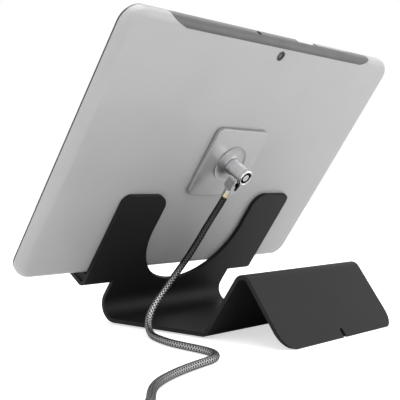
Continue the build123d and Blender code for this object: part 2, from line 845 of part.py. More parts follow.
# The upper stretch moves with the tablet, the lower one lies with the stand
hanging = [Vector(*point) for point in hanging_points]
floor = [Vector(*point) for point in floor_points]
handover_way = (hanging[upper_point_count] - hanging[upper_point_count - 1]).normalized()
handover_point = (hanging[upper_point_count] + hanging[upper_point_count - 1]) / 2
upper_line = route_line(
    "cable_upper", [tail_stop + end_way * cord_gap] + hanging[:upper_point_count] + [handover_point]
)
swept_tube("cable_upper", upper_line)
lower_line = route_line(
    "cable_lower", [handover_point + handover_way * cord_gap] + hanging[upper_point_count:] + floor
)
swept_tube("cable_lower", lower_line)

# Eye at the far end: out of the sleeve, round and back into it
eye_rise = sleeve_height / 2
eye_offset = cable_radius + rest_gap
eye_reach = math.sqrt((eye_radius + eye_flare) ** 2 - (eye_offset + eye_flare) ** 2)
eye_angle = math.degrees(math.asin(eye_reach / (eye_radius + eye_flare)))


def eye_line(origin, heading, drop):
    """The eye's centreline, from the coil's end level, down a gentle slope, through the sleeve and round."""
    level = Plane(origin=origin - Vector(0, 0, drop), x_dir=heading, z_dir=(0, 0, 1))
    with BuildLine(level) as path:
        lead = FilletPolyline(
            (0, 0, drop),
            (eye_lead_share * eye_lead, 0, drop),
            ((1 - eye_lead_share / 2) * eye_lead, 0, 0),
            (eye_lead + sleeve_length, 0, 0),
            radius=eye_lead,
        )
        opening = JernArc(lead @ 1, lead % 1, eye_flare, -eye_angle)
        bow = JernArc(opening @ 1, opening % 1, eye_radius, 180 + 2 * eye_angle)
        closing = JernArc(bow @ 1, bow % 1, eye_flare, -eye_angle)
        Line(closing @ 1, (closing @ 1) + (closing % 1) * sleeve_length)
    return path.wire(), level


# Coil: two layers that spiral in and out again, one unbroken tube
coil_drop = cable_radius + coil_pitch - eye_rise
trial_wire, trial_level = eye_line(Vector(0, 0, 0), across, coil_drop)
used_length = ferrule_end + tail_length + upper_line.length + lower_line.length + trial_wire.length
coil_turns = 2 * coil_layer_turns
coil_mean_radius = (cable_length - used_length - 2 * cable_diameter) / (2 * math.pi * coil_turns)
coil_outer_radius = coil_mean_radius + coil_pitch * coil_layer_turns / 2
coil_heading = (floor[-1] - floor[-2]).normalized()
coil_left = Vector(0, 0, 1).cross(coil_heading)
coil_start = floor[-1] + coil_heading * cable_diameter
coil_centre = coil_start + coil_left * coil_outer_radius


def coil_point(turn):
    """A point of the coil's centreline after so many turns from its outer start."""
    radius = coil_outer_radius - coil_pitch * (coil_layer_turns - abs(turn - coil_layer_turns))
    climbed = min(max((turn - coil_layer_turns + climb_turns / 2) / climb_turns, 0), 1)
    rise = coil_pitch * (1 - math.cos(math.pi * climbed)) / 2
    angle = 2 * math.pi * turn
    return (
        coil_centre
        + (coil_heading * math.sin(angle) - coil_left * math.cos(angle)) * radius
        + Vector(0, 0, rise)
    )


def coil_tangent(turn):
    """The direction of travel there."""
    step = climb_turns / 100
    return (coil_point(turn + step) - coil_point(turn - step)).normalized()


def biarc_joint(start, start_way, stop, stop_way):
    """The point where two arcs meet that leave start and reach stop in the given directions."""
    chord = stop - start
    both = start_way + stop_way
    square = 2 * (start_way.dot(stop_way) - 1)
    linear = -2 * chord.dot(both)
    constant = chord.dot(chord)
    reach = (-linear - math.sqrt(linear**2 - 4 * square * constant)) / (2 * square)
    return (start + start_way * reach + stop - stop_way * reach) / 2


eye_heading = coil_heading * -1
spans = round(coil_turns / span_turns)
with BuildLine() as coil_path:
    start_way = coil_heading
    start = coil_start
    Line(floor[-1], coil_start)
    for span in range(1, spans + 1):
        turn = span * span_turns
        stop = coil_point(turn)
        stop_way = eye_heading if span == spans else coil_tangent(turn)
        joint = biarc_joint(start, start_way, stop, stop_way)
        first = TangentArc(start, joint, tangent=start_way)
        second = TangentArc(joint, stop, tangent=first % 1)
        start, start_way = stop, stop_way
    coil_stop = start + eye_heading * cable_diameter
    Line(start, coil_stop)
coil_line = coil_path.wire()
swept_tube("cable_coil", coil_line)

# The coil's least gap to itself, measured on points of its centreline
samples = [coil_line @ (index / sample_count) for index in range(sample_count + 1)]
apart = round(sample_count * math.pi * coil_mean_radius / coil_line.length)
least = min(
    (samples[here] - samples[there]).length
    for here in range(0, sample_count, 2)
    for there in range(here + apart, sample_count, 2)
)
inner_radius = coil_outer_radius - coil_pitch * coil_layer_turns
print(f"cable_coil: {coil_turns} turns, radii {inner_radius:.1f} to {coil_outer_radius:.1f}")
print(f"cable_coil: least gap to itself {least - cable_diameter:.2f}")

eye_wire, eye_level = eye_line(coil_stop, eye_heading, coil_drop)
swept_tube("cable_eye", eye_wire)
whole = used_length + coil_line.length
print(f"cable: whole length {whole:.1f}, coil centre {coil_centre.X:.1f}, {coil_centre.Y:.1f}")

# Sleeve crimped round both strands of the eye
with BuildPart() as crimp_sleeve:
    sleeve_start = eye_level.origin + eye_heading * eye_lead
    with BuildSketch(Plane(origin=sleeve_start, x_dir=coil_left, z_dir=eye_heading)):
        with Locations((-eye_offset, 0)):
            RectangleRounded(sleeve_width, sleeve_height, sleeve_corner)
        with Locations((0, 0), (-2 * eye_offset, 0)):
            Circle(cable_radius + turn_gap, mode=Mode.SUBTRACT)
    extrude(amount=sleeve_length)
crimp_sleeve.part.label = "crimp_sleeve"
export_step(crimp_sleeve.part, "parts/crimp_sleeve.step")
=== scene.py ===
import json
import math

import bpy
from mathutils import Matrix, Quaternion, Vector


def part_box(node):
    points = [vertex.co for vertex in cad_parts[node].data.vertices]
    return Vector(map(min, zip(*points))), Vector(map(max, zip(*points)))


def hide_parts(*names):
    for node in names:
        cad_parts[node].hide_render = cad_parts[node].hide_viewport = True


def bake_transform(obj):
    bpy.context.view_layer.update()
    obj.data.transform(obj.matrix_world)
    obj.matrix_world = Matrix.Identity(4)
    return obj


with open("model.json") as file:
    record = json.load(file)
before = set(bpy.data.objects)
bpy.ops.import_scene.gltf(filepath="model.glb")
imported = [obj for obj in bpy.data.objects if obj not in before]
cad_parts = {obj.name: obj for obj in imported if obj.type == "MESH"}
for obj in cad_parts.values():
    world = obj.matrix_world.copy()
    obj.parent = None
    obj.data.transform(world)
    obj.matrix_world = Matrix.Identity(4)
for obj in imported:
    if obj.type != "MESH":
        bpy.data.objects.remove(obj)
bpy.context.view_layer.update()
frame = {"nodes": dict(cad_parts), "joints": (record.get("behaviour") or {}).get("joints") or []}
nodes = frame["nodes"]
up = Vector((0, 0, 1))
white = (1.0, 1.0, 1.0)

# The photographer's camera, a little above the table and behind the right side
cameraSet = {
    "place": (0.41262, 0.35632, 0.08672),
    "heading": 131.97,  # degrees, as are pitch and roll
    "pitch": -0.71,
    "roll": -0.19,
    "lens": 73.5,  # millimetres, as is the sensor
    "sensor": 36.0,
    "near": 0.01,
    "far": 30.0,
}


def makeCamera(s):
    data = bpy.data.cameras.new("photoCamera")
    data.lens = s["lens"]
    data.sensor_width = s["sensor"]
    data.clip_start = s["near"]
    data.clip_end = s["far"]
    camera = bpy.data.objects.new("photoCamera", data)
    bpy.context.scene.collection.objects.link(camera)
    turn, tip = math.radians(s["heading"]), math.radians(s["pitch"])
    look = Vector((-math.sin(turn) * math.cos(tip), math.cos(turn) * math.cos(tip), math.sin(tip)))
    camera.rotation_mode = "QUATERNION"
    camera.rotation_quaternion = look.to_track_quat("-Z", "Y") @ Quaternion(up, math.radians(s["roll"]))
    camera.location = s["place"]
    bpy.context.scene.camera = camera


makeCamera(cameraSet)
print("camera placed")


def jointNamed(name):
    return next(joint for joint in frame["joints"] if joint["name"] == name)


# The tablet's lean, and the places and ways of the lock and the cable's fitting
liftWay = Vector(jointNamed("tablet_lift")["axis"])
tabletLean = math.atan2(liftWay.y, liftWay.z)
lockPlace = Vector(jointNamed("collar_swivel")["pos_m"])
lockWay = Vector(jointNamed("collar_swivel")["axis"])
clevis = Vector(jointNamed("end_tilt")["pos_m"])
earSide = Vector(jointNamed("end_tilt")["axis"])
tailLow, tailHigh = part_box("cable_tail")
endWay = ((tailLow + tailHigh) / 2 - clevis).normalized()

# What a finish has where its own settings don't say otherwise. Clouds, grain and depth are in metres
plainFinish = {
    "metallic": 0.0,
    "coat": 0.0,
    "coatRoughness": 0.1,
    "specular": 0.5,
    "cloudDetail": 3.0,
    "grainDetail": 2.0,
    "darkAt": 0.3,
    "lightAt": 0.7,
    "roughSpread": 0.05,
    "depth": 0.0,
    "strength": 0.5,
}
shaderSockets = {
    "roughness": "Roughness",
    "metallic": "Metallic",
    "coat": "Coat Weight",
    "coatRoughness": "Coat Roughness",
    "specular": "Specular IOR Level",
}


# Small helpers for the materials, where tree is the node tree that they add to
def newMaterial(name, s):
    material = bpy.data.materials.new(name)
    material.use_nodes = True
    tree = material.node_tree
    shader = tree.nodes["Principled BSDF"]
    for setting, socket in shaderSockets.items():
        shader.inputs[socket].default_value = s[setting]
    return material, tree, shader


def objectPlace(tree):
    return tree.nodes.new("ShaderNodeTexCoord").outputs["Object"]


def split(tree, vector):
    node = tree.nodes.new("ShaderNodeSeparateXYZ")
    tree.links.new(vector, node.inputs["Vector"])
    return node.outputs


def grain(tree, place, size, detail):
    node = tree.nodes.new("ShaderNodeTexNoise")
    node.inputs["Scale"].default_value = 1.0 / size
    node.inputs["Detail"].default_value = detail
    tree.links.new(place, node.inputs["Vector"])
    return node.outputs["Fac"]


def ramp(tree, factor, darkAt, dark, lightAt, light):
    node = tree.nodes.new("ShaderNodeValToRGB")
    for element, place, color in zip(node.color_ramp.elements, (darkAt, lightAt), (dark, light)):
        element.position = place
        element.color = (*color, 1.0)
    tree.links.new(factor, node.inputs["Fac"])
    return node.outputs["Color"]


def bump(tree, shader, height, depth, strength):
    node = tree.nodes.new("ShaderNodeBump")
    node.inputs["Strength"].default_value = strength
    node.inputs["Distance"].default_value = depth
    tree.links.new(height, node.inputs["Height"])
    tree.links.new(node.outputs["Normal"], shader.inputs["Normal"])


def span(tree, factor, low, high):
    node = tree.nodes.new("ShaderNodeMapRange")
    node.inputs["To Min"].default_value = low
    node.inputs["To Max"].default_value = high
    tree.links.new(factor, node.inputs["Value"])
    return node.outputs["Result"]


# A mask that goes from zero at low to one at high
def step(tree, value, low, high):
    node = tree.nodes.new("ShaderNodeMapRange")
    node.inputs["From Min"].default_value = low
    node.inputs["From Max"].default_value = high
    tree.links.new(value, node.inputs["Value"])
    return node.outputs["Result"]


def calc(tree, kind, first, second=None):
    node = tree.nodes.new("ShaderNodeMath")
    node.operation = kind
    for socket, value in zip(node.inputs, (first, second)):
        if isinstance(value, (int, float)):
            socket.default_value = value
        elif value is not None:
            tree.links.new(value, socket)
    return node.outputs["Value"]


def vectorCalc(tree, kind, first, second=None, result="Vector"):
    node = tree.nodes.new("ShaderNodeVectorMath")
    node.operation = kind
    tree.links.new(first, node.inputs[0])
    if second is not None:
        node.inputs[1].default_value = second
    return node.outputs[result]


def blendColors(tree, factor, first, second):
    node = tree.nodes.new("ShaderNodeMix")
    node.data_type = "RGBA"
    tree.links.new(factor, node.inputs["Factor"])
    colorSockets = [socket for socket in node.inputs if socket.type == "RGBA"]
    for socket, color in zip(colorSockets, (first, second)):
        if isinstance(color, tuple):
            socket.default_value = (*color, 1.0)
        else:
            tree.links.new(color, socket)
    return next(socket for socket in node.outputs if socket.type == "RGBA")


# A second colour over the material's own, where the mask is one
def layOver(material, mask, color):
    tree = material.node_tree
    base = tree.nodes["Principled BSDF"].inputs["Base Color"]
    own = base.links[0].from_socket
    tree.links.new(blendColors(tree, mask, own, color), base)
    return material


# Across, front to back and upwards on the leaning tablet, measured from its middle
def tabletAxes(tree):
    low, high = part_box("front_glass")
    turn = tree.nodes.new("ShaderNodeVectorRotate")
    turn.rotation_type = "X_AXIS"
    turn.inputs["Angle"].default_value = tabletLean
    shifted = vectorCalc(tree, "SUBTRACT", objectPlace(tree), (low + high) / 2)
    tree.links.new(shifted, turn.inputs["Vector"])
    return split(tree, turn.outputs["Vector"])


# The everyday finish: clouds of two tones, with a fine grain in the gloss and the surface
def grainyMaterial(name, s):
    s = {**plainFinish, **s}
    material, tree, shader = newMaterial(name, s)
    place = objectPlace(tree)
    cloud = grain(tree, place, s["cloud"], s["cloudDetail"])
    color = ramp(tree, cloud, s["darkAt"], s["dark"], s["lightAt"], s["light"])
    tree.links.new(color, shader.inputs["Base Color"])
    fine = grain(tree, place, s["grain"], s["grainDetail"])
    gloss = span(tree, fine, s["roughness"] - s["roughSpread"], s["roughness"] + s["roughSpread"])
    tree.links.new(gloss, shader.inputs["Roughness"])
    if s["depth"]:
        bump(tree, shader, fine, s["depth"], s["strength"])
    return material


def paint(material, *names):
    for name in names:
        node = nodes[name]
        node.data.materials.clear()
        node.data.materials.append(material)


# The cable's way, metre for metre as in the source: out of the fitting, down, along the table
cableSet = {
    "diameter": 0.0042,
    "length": 1.8,
    "sides": 16,
    "curveSteps": 12,
    "ferruleEnd": 0.0086,  # from the clevis pin
    "tail": 0.005,  # straight out of the ferrule
    "endPiece": 0.034,  # where one piece of cable ends and the next starts
    "collarPiece": 0.068,
    "joinGap": 0.0001,  # nearer to a piece's end there is no other point
    "hanging": [
        (0.0140, 0.0103, 0.0713),
        (0.0200, 0.0084, 0.0629),
        (0.0257, 0.0065, 0.0541),
        (0.0337, 0.0052, 0.0444),
        (0.0466, 0.0045, 0.0322),
        (0.0549, 0.0044, 0.0250),
        (0.0645, 0.0044, 0.0159),
        (0.0702, 0.0056, 0.0074),
    ],
    "floor": [
        (0.0762, 0.0139, 0.0021),
        (0.0834, 0.0270, 0.0021),
        (0.0886, 0.0430, 0.0021),
        (0.0902, 0.0580, 0.0021),
        (0.0914, 0.0710, 0.0021),
        (0.0952, 0.0818, 0.0021),
        (0.1038, 0.0884, 0.0021),
        (0.1160, 0.0902, 0.0021),
        (0.1310, 0.0930, 0.0021),
        (0.1470, 0.0976, 0.0021),
        (0.1606, 0.1036, 0.0021),
        (0.1716, 0.1116, 0.0021),
        (0.1830, 0.1230, 0.0021),
        (0.1970, 0.1326, 0.0021),
        (0.2140, 0.1359, 0.0021),
        (0.2320, 0.1359, 0.0021),
    ],
}


def smoothLine(name, points, curveSteps):
    curve = bpy.data.curves.new(name, "CURVE")
    curve.dimensions = "3D"
    curve.resolution_u = curveSteps
    spline = curve.splines.new("NURBS")
    spline.points.add(len(points) - 1)
    for point, place in zip(spline.points, points):
        point.co = (*place, 1.0)
    spline.order_u = 3
    spline.use_endpoint_u = True
    holder = bpy.data.objects.new(name, curve)
    bpy.context.scene.collection.objects.link(holder)
    bpy.context.view_layer.update()
    mesh = bpy.data.meshes.new_from_object(holder)
    line = [vertex.co.copy() for vertex in mesh.vertices]
    bpy.data.objects.remove(holder)
    bpy.data.meshes.remove(mesh)
    return line


def lengthsAlong(line):
    total, lengths = 0.0, [0.0]
    for before, after in zip(line, line[1:]):
        total += (after - before).length
        lengths.append(total)
    return lengths


def stretchOf(line, lengths, low, high, joinGap):
    def pointAt(distance):
        for index in range(1, len(line)):
            if lengths[index] >= distance:
                share = (distance - lengths[index - 1]) / (lengths[index] - lengths[index - 1])
                return line[index - 1].lerp(line[index], share)
        return line[-1].copy()

    inner = [point for point, distance in zip(line, lengths) if low + joinGap < distance < high - joinGap]
    return [pointAt(low), *inner, pointAt(high)]


# A closed tube round a line, with a texture map of the share of a turn and the metres along
def tubeMesh(name, line, radius, sides, startLength):
    verts, faces, metres = [], [], []
    side = up.cross(line[1] - line[0]).normalized()
    travelled = startLength
    for index, place in enumerate(line):
        before = line[max(index - 1, 0)]
        after = line[min(index + 1, len(line) - 1)]
        way = (after - before).normalized()
        side = (side - way * side.dot(way)).normalized()
        other = way.cross(side)
        travelled += (place - before).length
        for spoke in range(sides):
            angle = 2 * math.pi * spoke / sides
            verts.append(place + (side * math.cos(angle) + other * math.sin(angle)) * radius)
        metres.append(travelled)
    for ring in range(len(line) - 1):
        near, far = ring * sides, (ring + 1) * sides
        for spoke in range(sides):
            ahead = (spoke + 1) % sides
            faces.append((near + spoke, near + ahead, far + ahead, far + spoke))
    last = (len(line) - 1) * sides
    caps = [tuple(reversed(range(sides))), tuple(range(last, last + sides))]
    mesh = bpy.data.meshes.new(name)
    mesh.from_pydata(verts, [], faces + caps)
    layer = mesh.uv_layers.new(name="along")
    for polygon in mesh.polygons:
        wall = polygon.index < len(faces)
        polygon.use_smooth = wall
        for corner, loop in enumerate(polygon.loop_indices):
            vertex = mesh.loops[loop].vertex_index
            spoke = vertex % sides
            # The faces that close the turn count on to a whole one on their far side
            if wall and spoke == 0 and corner in (1, 2):
                spoke = sides
            layer.data[loop].uv = (spoke / sides, metres[vertex // sides])
    mesh.update()
    piece = bpy.data.objects.new(name, mesh)
    bpy.context.scene.collection.objects.link(piece)
    return piece


# The stored length: a coil of two layers that winds in below and out again above
coilSet = {
    "layerTurns": 4.25,
    "pitch": 0.00475,
    "meanRadius": 0.02489,
    "climb": 0.5,  # turns that it takes to rise to the upper layer
    "pointsPerTurn": 16,
}


def coilRoute(start, heading, s):
    left = up.cross(heading)
    outer = s["meanRadius"] + s["pitch"] * s["layerTurns"] / 2
    centre = start + left * outer
    half = math.pi / s["pointsPerTurn"]
    points = []
    for count in range(1, round(2 * s["layerTurns"] * s["pointsPerTurn"])):
        turn = count / s["pointsPerTurn"]
        radius = outer - s["pitch"] * (s["layerTurns"] - abs(turn - s["layerTurns"]))
        climbed = min(max((turn - s["layerTurns"] + s["climb"] / 2) / s["climb"], 0), 1)
        rise = s["pitch"] * (1 - math.cos(math.pi * climbed)) / 2
        angle = 2 * math.pi * turn
        way = heading * math.sin(angle) - left * math.cos(angle)
        points.append(centre + way * radius / math.cos(half) + up * rise)
    return points, centre + left * outer + up * s["pitch"]


# The far end: down from the coil, through the crimp sleeve, round the bow and back into the sleeve
eyeSet = {
    "radius": 0.010,
    "flare": 0.008,
    "lead": 0.034,
    "sleeve": 0.011,
    "strandGap": 0.0048,
    "height": 0.0029,
    "dropFrom": 0.3,  # shares of the lead, between which it comes down
    "dropTo": 0.85,
    "throat": 0.3,  # share of the flare, where the two strands part
    "bowPoints": 12,
}


def eyeRoute(start, heading, s):
    left = up.cross(heading)
    drop = start.z - s["height"]
    flat = Vector((start.x, start.y, s["height"]))
    offset = s["strandGap"] / 2
    reach = math.sqrt((s["radius"] + s["flare"]) ** 2 - (offset + s["flare"]) ** 2)
    mouth = s["lead"] + s["sleeve"]
    throat = mouth + s["throat"] * s["flare"]

    def at(x, y, z=0.0):
        return flat + heading * x + left * y + up * z

    points = [
        at(0.0, 0.0, drop),
        at(s["dropFrom"] * s["lead"], 0.0, drop),
        at(s["dropTo"] * s["lead"], 0.0),
        at(s["lead"], 0.0),
        at(throat, 0.0),
    ]
    opening = math.atan2(offset + s["flare"], reach)
    sweep = 2 * (math.pi - opening)
    bow = s["radius"] / math.cos(sweep / s["bowPoints"] / 2)
    for index in range(s["bowPoints"] + 1):
        angle = math.pi + opening + sweep * index / s["bowPoints"]
        points.append(at(mouth + reach + bow * math.cos(angle), offset + bow * math.sin(angle)))
    points.append(at(throat, s["strandGap"]))
    points.append(at(s["lead"], s["strandGap"]))
    return points


# Steel braid under a clear sleeve, with painted shade that darkens it where the cable hangs from the lock
braidSet = {
    "starts": 5,  # wires wound each way
    "pitch": 0.0110,  # length of one turn of a wire
    "roughness": 0.28,
    "metallic": 1.0,
    "rim": (0.10, 0.10, 0.10),  # tint where it curves away
    "hangShade": (0.010, 0.010, 0.011),
    "hangWireShaded": (0.066, 0.066, 0.068),
    "shade": (0.012, 0.012, 0.013),
    "wire": (0.62, 0.62, 0.63),
    "shadeUpTo": 0.50,  # heights in the weave
    "wireFrom": 0.90,
    "darkUntil": 0.052,  # lengths along the cable
    "brightFrom": 0.084,
    "depth": 0.00035,
    "strength": 0.9,
}


def braidMaterial(s):
    material, tree, shader = newMaterial("steelBraid", {**plainFinish, **s})
    shader.inputs["Specular Tint"].default_value = (*s["rim"], 1.0)
    where = tree.nodes.new("ShaderNodeUVMap")
    where.uv_map = "along"
    parts = split(tree, where.outputs["UV"])
    wires = 2 * math.pi * s["starts"]
    around = calc(tree, "MULTIPLY", parts["X"], wires)
    along = calc(tree, "MULTIPLY", parts["Y"], wires / s["pitch"])
    oneWay = calc(tree, "SINE", calc(tree, "ADD", around, along))
    otherWay = calc(tree, "SINE", calc(tree, "SUBTRACT", along, around))
    height = step(tree, calc(tree, "MAXIMUM", oneWay, otherWay), -1.0, 1.0)
    # Painted shade: the stretch that hangs from the lock takes darker weave colours, which give way to
    # the braid's own further along
    hanging = ramp(tree, height, s["shadeUpTo"], s["hangShade"], s["wireFrom"], s["hangWireShaded"])
    lying = ramp(tree, height, s["shadeUpTo"], s["shade"], s["wireFrom"], s["wire"])
    down = step(tree, parts["Y"], s["darkUntil"], s["brightFrom"])
    tree.links.new(blendColors(tree, down, hanging, lying), shader.inputs["Base Color"])
    bump(tree, shader, height, s["depth"], s["strength"])
    return material


heading = (Vector(cableSet["floor"][-1]) - Vector(cableSet["floor"][-2])).normalized()
cableStart = clevis + endWay * cableSet["ferruleEnd"]
tailStop = cableStart + endWay * cableSet["tail"]
coilStart = Vector(cableSet["floor"][-1]) + heading * cableSet["diameter"]
coilPoints, coilStop = coilRoute(coilStart, heading, coilSet)
eyeStart = coilStop - heading * cableSet["diameter"]
wholeRoute = [cableStart, tailStop]
wholeRoute += [Vector(point) for point in cableSet["hanging"] + cableSet["floor"]]
wholeRoute += [coilStart, *coilPoints, coilStop]
wholeRoute += eyeRoute(eyeStart, -heading, eyeSet)
cableLine = smoothLine("cableRoute", wholeRoute, cableSet["curveSteps"])
lengths = lengthsAlong(cableLine)
print("cable length", round(lengths[-1], 4))

braid = braidMaterial(braidSet)
stretches = [
    ("cableAtFitting", 0.0, cableSet["endPiece"]),
    ("cableAtCollar", cableSet["endPiece"], cableSet["collarPiece"]),
    ("cableRun", cableSet["collarPiece"], lengths[-1]),
]
cablePieces = {}
for name, low, high in stretches:
    line = stretchOf(cableLine, lengths, low, high, cableSet["joinGap"])
    piece = tubeMesh(name, line, cableSet["diameter"] / 2, cableSet["sides"], low)
    piece.data.materials.append(braid)
    cablePieces[name] = (piece, line)

piece, line = cablePieces["cableAtFitting"]
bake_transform(piece)
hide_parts("cable_tail")
piece, line = cablePieces["cableAtCollar"]
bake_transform(piece)
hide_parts("cable_upper")
piece, line = cablePieces["cableRun"]
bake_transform(piece)
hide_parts("cable_lower", "cable_coil", "cable_eye")
print("cable made")

# Stand: matte black powder coat
standSet = {
    "dark": (0.0118, 0.0118, 0.0120),
    "light": (0.0146, 0.0146, 0.0148),
    "cloud": 0.030,
    "specular": 0.25,
    "grain": 0.0007,
    "roughness": 0.56,
    "depth": 0.00006,
    "strength": 0.35,
}
paint(grainyMaterial("powderBlack", standSet), "stand_plate")
padSet = {
    "dark": (0.012, 0.012, 0.012),
    "light": (0.018, 0.018, 0.018),
    "cloud": 0.010,
    "grain": 0.0009,
    "roughness": 0.82,
    "depth": 0.00015,
}
paint(grainyMaterial("padRubber", padSet), "base_pad", "ledge_pads")
print("stand painted")

# Tablet: satin silver-grey back, darker band, black glass front
bandSet = {
    "dark": (0.086, 0.086, 0.087),
    "light": (0.106, 0.106, 0.107),
    "cloud": 0.012,
    "grain": 0.0003,
    "roughness": 0.34,
    "coat": 0.25,
    "coatRoughness": 0.12,
    "depth": 0.00002,
}
paint(grainyMaterial("greyBand", bandSet), "trim_band")
shellSet = {
    "dark": (0.512, 0.512, 0.515),
    "light": (0.538, 0.538, 0.541),
    "cloud": 0.045,
    "grain": 0.0004,
    "roughness": 0.34,
    "roughSpread": 0.03,
    "coat": 0.25,
    "coatRoughness": 0.12,
    "depth": 0.000012,
    "strength": 0.3,
}
bandEndSet = {
    "halfLength": 0.09895,  # of the band with its ends
    "sweep": 0.0115,  # length of one end
    "sweepPower": 0.6,
    "depth": 0.0050,  # of the band, down the back
    "top": 0.08765,  # of the shell, from its middle
    "edge": 0.0001,
}


# The band's colour runs on over the shell at its two swept ends
def shellMaterial(s, band, end):
    material = grainyMaterial("silverShell", s)
    tree = material.node_tree
    parts = tabletAxes(tree)
    inwards = calc(tree, "SUBTRACT", end["halfLength"], calc(tree, "ABSOLUTE", parts["X"]))
    share = step(tree, inwards, 0.0, end["sweep"])
    depth = calc(tree, "MULTIPLY", calc(tree, "POWER", share, end["sweepPower"]), end["depth"])
    below = calc(tree, "SUBTRACT", end["top"], parts["Z"])
    inside = step(tree, calc(tree, "SUBTRACT", depth, below), 0.0, end["edge"])
    return layOver(material, inside, band["light"])


paint(shellMaterial(shellSet, bandSet, bandEndSet), "tablet_back_shell")
buttonSet = {
    "dark": (0.78, 0.78, 0.78),
    "light": (0.86, 0.86, 0.86),
    "cloud": 0.006,
    "grain": 0.0003,
    "roughness": 0.36,
    "depth": 0.00001,
}
paint(grainyMaterial("buttonGrey", buttonSet), "power_button")
rockerSet = {
    "dark": (0.36, 0.36, 0.365),
    "light": (0.44, 0.44, 0.445),
    "cloud": 0.006,
    "grain": 0.0003,
    "roughness": 0.36,
    "depth": 0.00001,
}
paint(grainyMaterial("rockerGrey", rockerSet), "volume_rocker")
bezelSet = {
    "dark": (0.010, 0.010, 0.011),
    "light": (0.016, 0.016, 0.017),
    "cloud": 0.020,
    "grain": 0.0005,
    "roughness": 0.22,
    "coat": 0.5,
}
paint(grainyMaterial("bezelBlack", bezelSet), "bezel_frame", "display_panel")
glassSet = {
    "border": (0.003, 0.003, 0.0035),
    "display": (0.010, 0.0105, 0.012),
    "halfWidth": 0.1085,
    "halfHeight": 0.068,
    "edge": 0.0006,
    "roughness": 0.05,
}


# Black border round the slightly lighter display
def glassMaterial(s):
    material, tree, shader = newMaterial("blackGlass", {**plainFinish, **s})
    parts = tabletAxes(tree)
    insides = []
    for axis, half in (("X", s["halfWidth"]), ("Z", s["halfHeight"])):
        size = calc(tree, "ABSOLUTE", parts[axis])
        insides.append(step(tree, size, half + s["edge"], half))
    both = calc(tree, "MULTIPLY", *insides)
    tree.links.new(blendColors(tree, both, s["border"], s["display"]), shader.inputs["Base Color"])
    return material


paint(glassMaterial(glassSet), "front_glass")
print("tablet painted")

# Inner pieces, seen only when the tablet is taken apart
cellSet = {
    "dark": (0.42, 0.43, 0.45),
    "light": (0.55, 0.56, 0.58),
    "cloud": 0.012,
    "grain": 0.0008,
    "roughness": 0.38,
    "metallic": 0.8,
    "depth": 0.00005,
}
paint(grainyMaterial("cellFoil", cellSet), "battery_cells")
boardSet = {
    "dark": (0.010, 0.060, 0.030),
    "light": (0.020, 0.110, 0.055),
    "cloud": 0.003,
    "grain": 0.0006,
    "roughness": 0.45,
    "depth": 0.00005,
}
paint(grainyMaterial("boardGreen", boardSet), "main_board")
moduleSet = {
    "dark": (0.012, 0.012, 0.013),
    "light": (0.022, 0.022, 0.024),
    "cloud": 0.006,
    "grain": 0.0005,
    "roughness": 0.5,
    "depth": 0.00004,
}
moduleBlack = grainyMaterial("moduleBlack", moduleSet)
paint(moduleBlack, "camera_module", "speakers", "headphone_jack", "edge_switches")
portSet = {
    "dark": (0.45, 0.45, 0.46),
    "light": (0.58, 0.58, 0.59),
    "cloud": 0.004,
    "grain": 0.0003,
    "roughness": 0.35,
    "metallic": 1.0,
}
paint(grainyMaterial("portMetal", portSet), "dock_port")
print("insides painted")

# Back camera
ringSet = {
    "dark": (0.40, 0.40, 0.40),
    "light": (0.52, 0.52, 0.52),
    "cloud": 0.002,
    "grain": 0.0003,
    "roughness": 0.3,
    "metallic": 0.5,
}
paint(grainyMaterial("cameraRingGrey", ringSet), "camera_ring")
lensSet = {
    "dark": (0.004, 0.004, 0.006),
    "light": (0.010, 0.010, 0.016),
    # Painted reflection: the grey disc in the lens's middle
    "window": (0.10, 0.10, 0.104),
    "windowRadius": 0.0013,
    "windowEdge": 0.0003,
    "cloud": 0.002,
    "grain": 0.001,
    "roughness": 0.06,
    "roughSpread": 0.01,
}


# A dark glass with a greyer middle, a painted reflection in the glass
def lensMaterial(s):
    material = grainyMaterial("lensBlack", s)
    tree = material.node_tree
    low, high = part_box("camera_lens")
    away = vectorCalc(tree, "DISTANCE", objectPlace(tree), (low + high) / 2, "Value")
    inside = step(tree, away, s["windowRadius"] + s["windowEdge"], s["windowRadius"])
    return layOver(material, inside, s["window"])


paint(lensMaterial(lensSet), "camera_lens")
print("camera painted")

# Security plate and the foam tape under it
plateSet = {
    "dark": (0.485, 0.485, 0.490),
    "light": (0.525, 0.525, 0.530),
    "cloud": 0.018,
    "grain": 0.0004,
    "roughness": 0.31,
    "roughSpread": 0.03,
    "metallic": 0.70,
    "depth": 0.00001,
}
paint(grainyMaterial("plateSilver", plateSet), "security_plate")
tapeSet = {
    "dark": (0.030, 0.030, 0.030),
    "light": (0.050, 0.050, 0.050),
    "cloud": 0.004,
    "grain": 0.0005,
    "roughness": 0.8,
    "depth": 0.0001,
}
paint(grainyMaterial("foamTape", tapeSet), "adhesive_pad")
print("plate painted")

# Lock: satin flange, chromed body and collar, steel inside, nickel fitting, brass ferrule
flangeSet = {
    "dark": (0.400, 0.400, 0.405),
    "light": (0.450, 0.450, 0.455),
    "cloud": 0.006,
    "grain": 0.0005,
    "roughness": 0.30,
    "roughSpread": 0.04,
    "metallic": 0.75,
    "depth": 0.000008,
}
paint(grainyMaterial("flangeSatin", flangeSet), "lock_base")


# Painted shade and reflection: a darker second tone by distance from the lock's axis, and a third,
# painted shade, beyond one side of it
def lockMaterial(name, s, mark):
    material = grainyMaterial(name, s)
    tree = material.node_tree
    shift = vectorCalc(tree, "SUBTRACT", objectPlace(tree), lockPlace)
    across = vectorCalc(tree, "CROSS_PRODUCT", shift, lockWay)
    away = vectorCalc(tree, "LENGTH", across, result="Value")
    marked = step(tree, away, mark["from"], mark["to"])
    color = mark["color"]
    if "farEarShade" in mark:
        # The far ear is painted near black as shade
        along = vectorCalc(tree, "DOT_PRODUCT", shift, -earSide, "Value")
        beyond = step(tree, along, 0.0, mark["farEdge"])
        color = blendColors(tree, beyond, mark["color"], mark["farEarShade"])
    return layOver(material, marked, color)


